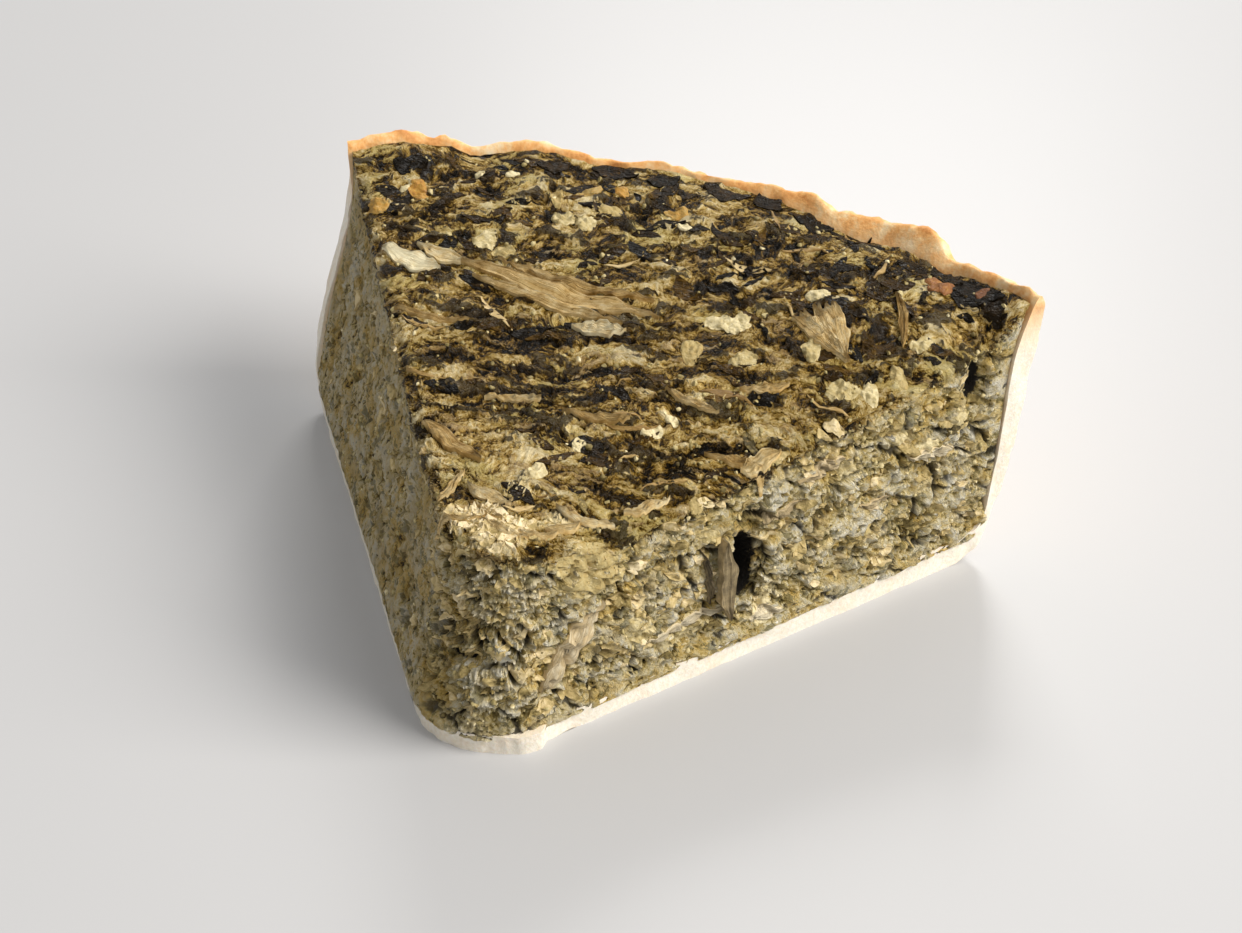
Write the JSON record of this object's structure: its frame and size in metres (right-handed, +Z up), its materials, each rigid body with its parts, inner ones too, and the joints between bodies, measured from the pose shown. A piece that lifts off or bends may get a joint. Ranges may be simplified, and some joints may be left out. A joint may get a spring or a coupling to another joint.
{
  "type": "slice of leaf tart",
  "caption": "Wedge of a deep baked leaf-and-cheese tart in thin pastry, cut ready to serve, with a browned uneven top and crumbly cut faces.",
  "frame": {"origin": "on the table, under the middle of the slice's bounding box", "axes": "+Z up from the pastry's underside; +Y from the slice's point towards the middle of its outer wall; +X to the right of the slice seen from its point, along its widest side"},
  "size_m": [0.13, 0.1043, 0.0507],
  "materials": {
    "pastry": "baked shortcrust, matt and slightly grainy",
    "filling": "baked chopped leaf, stalk and cheese, moist"
  },
  "bodies": {
    "root": {"pastry_shell": "pastry", "leaf_filling": "filling"}
  },
  "joints": []
}
